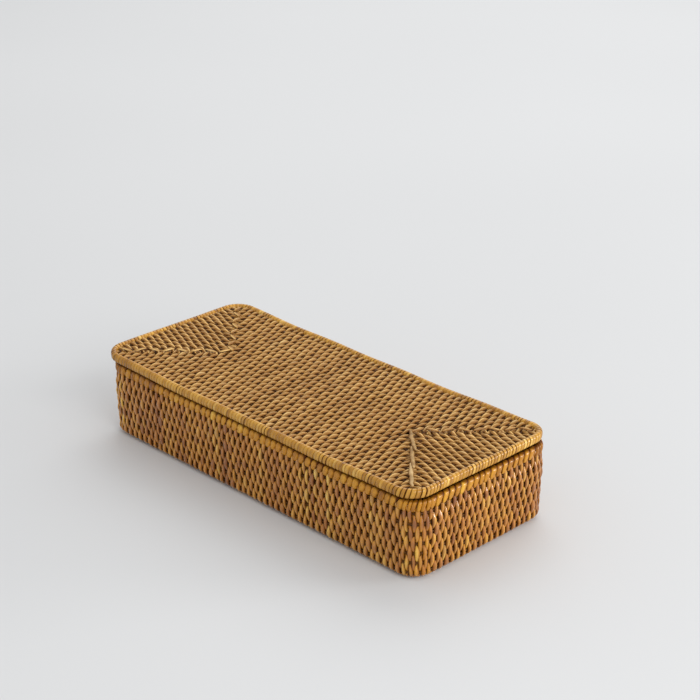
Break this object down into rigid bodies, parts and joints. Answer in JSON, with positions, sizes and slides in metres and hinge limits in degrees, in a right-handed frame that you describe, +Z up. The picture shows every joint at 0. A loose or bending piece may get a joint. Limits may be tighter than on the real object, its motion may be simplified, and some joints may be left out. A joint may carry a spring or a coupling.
{
  "type": "woven lidded box",
  "caption": "Long low rattan box woven of flat strips over round cane cores, with bound rims and a loose flat lift-off lid that a hidden lip keeps in place.",
  "frame": {"origin": "middle of the base's underside, on the ground", "axes": "+X along the length, +Y across the width, +Z up through the lid"},
  "size_m": [0.3621, 0.1535, 0.0757],
  "materials": {
    "strip": "satin woven rattan strips, tan to brown",
    "cane": "dull round cane cores, dark brown",
    "binding": "smooth golden rattan peel, wound close"
  },
  "bodies": {
    "box": {"base_core_1": "cane", "base_core_2": "cane", "base_core_3": "cane", "base_core_4": "cane", "base_core_5": "cane", "base_core_6": "cane", "base_core_7": "cane", "base_core_8": "cane", "base_spine": "cane", "base_weave_middle": "strip", "base_weave_left": "strip", "base_weave_right": "strip", "wall_core_1": "cane", "wall_core_2": "cane", "wall_core_3": "cane", "wall_core_4": "cane", "wall_core_5": "cane", "wall_core_6": "cane", "wall_core_7": "cane", "wall_weave_front": "strip", "wall_weave_back": "strip", "wall_weave_left": "strip", "wall_weave_right": "strip", "corner_weave_front_left": "strip", "corner_weave_front_right": "strip", "corner_weave_back_left": "strip", "corner_weave_back_right": "strip", "rim_hoop_upper": "cane", "rim_hoop_lower": "cane", "rim_binding": "binding"},
    "lid": {"lid_core_1": "cane", "lid_core_2": "cane", "lid_core_3": "cane", "lid_core_4": "cane", "lid_core_5": "cane", "lid_core_6": "cane", "lid_core_7": "cane", "lid_core_8": "cane", "lid_core_9": "cane", "lid_spine": "cane", "lid_weave_middle": "strip", "lid_weave_left": "strip", "lid_weave_right": "strip", "lid_rim_hoop_upper": "cane", "lid_rim_hoop_lower": "cane", "lid_rim_binding": "binding", "lid_lip_hoop_upper": "cane", "lid_lip_hoop_lower": "cane", "lid_lip_binding": "binding", "lid_hip_cord_front_left": "binding", "lid_hip_cord_front_right": "binding", "lid_hip_cord_back_left": "binding", "lid_hip_cord_back_right": "binding"}
  },
  "joints": [
    {"name": "lid_lift", "type": "slide", "parent": "box", "child": "lid", "axis": [0, 0, 1], "range_m": [0, 0.12]}
  ]
}
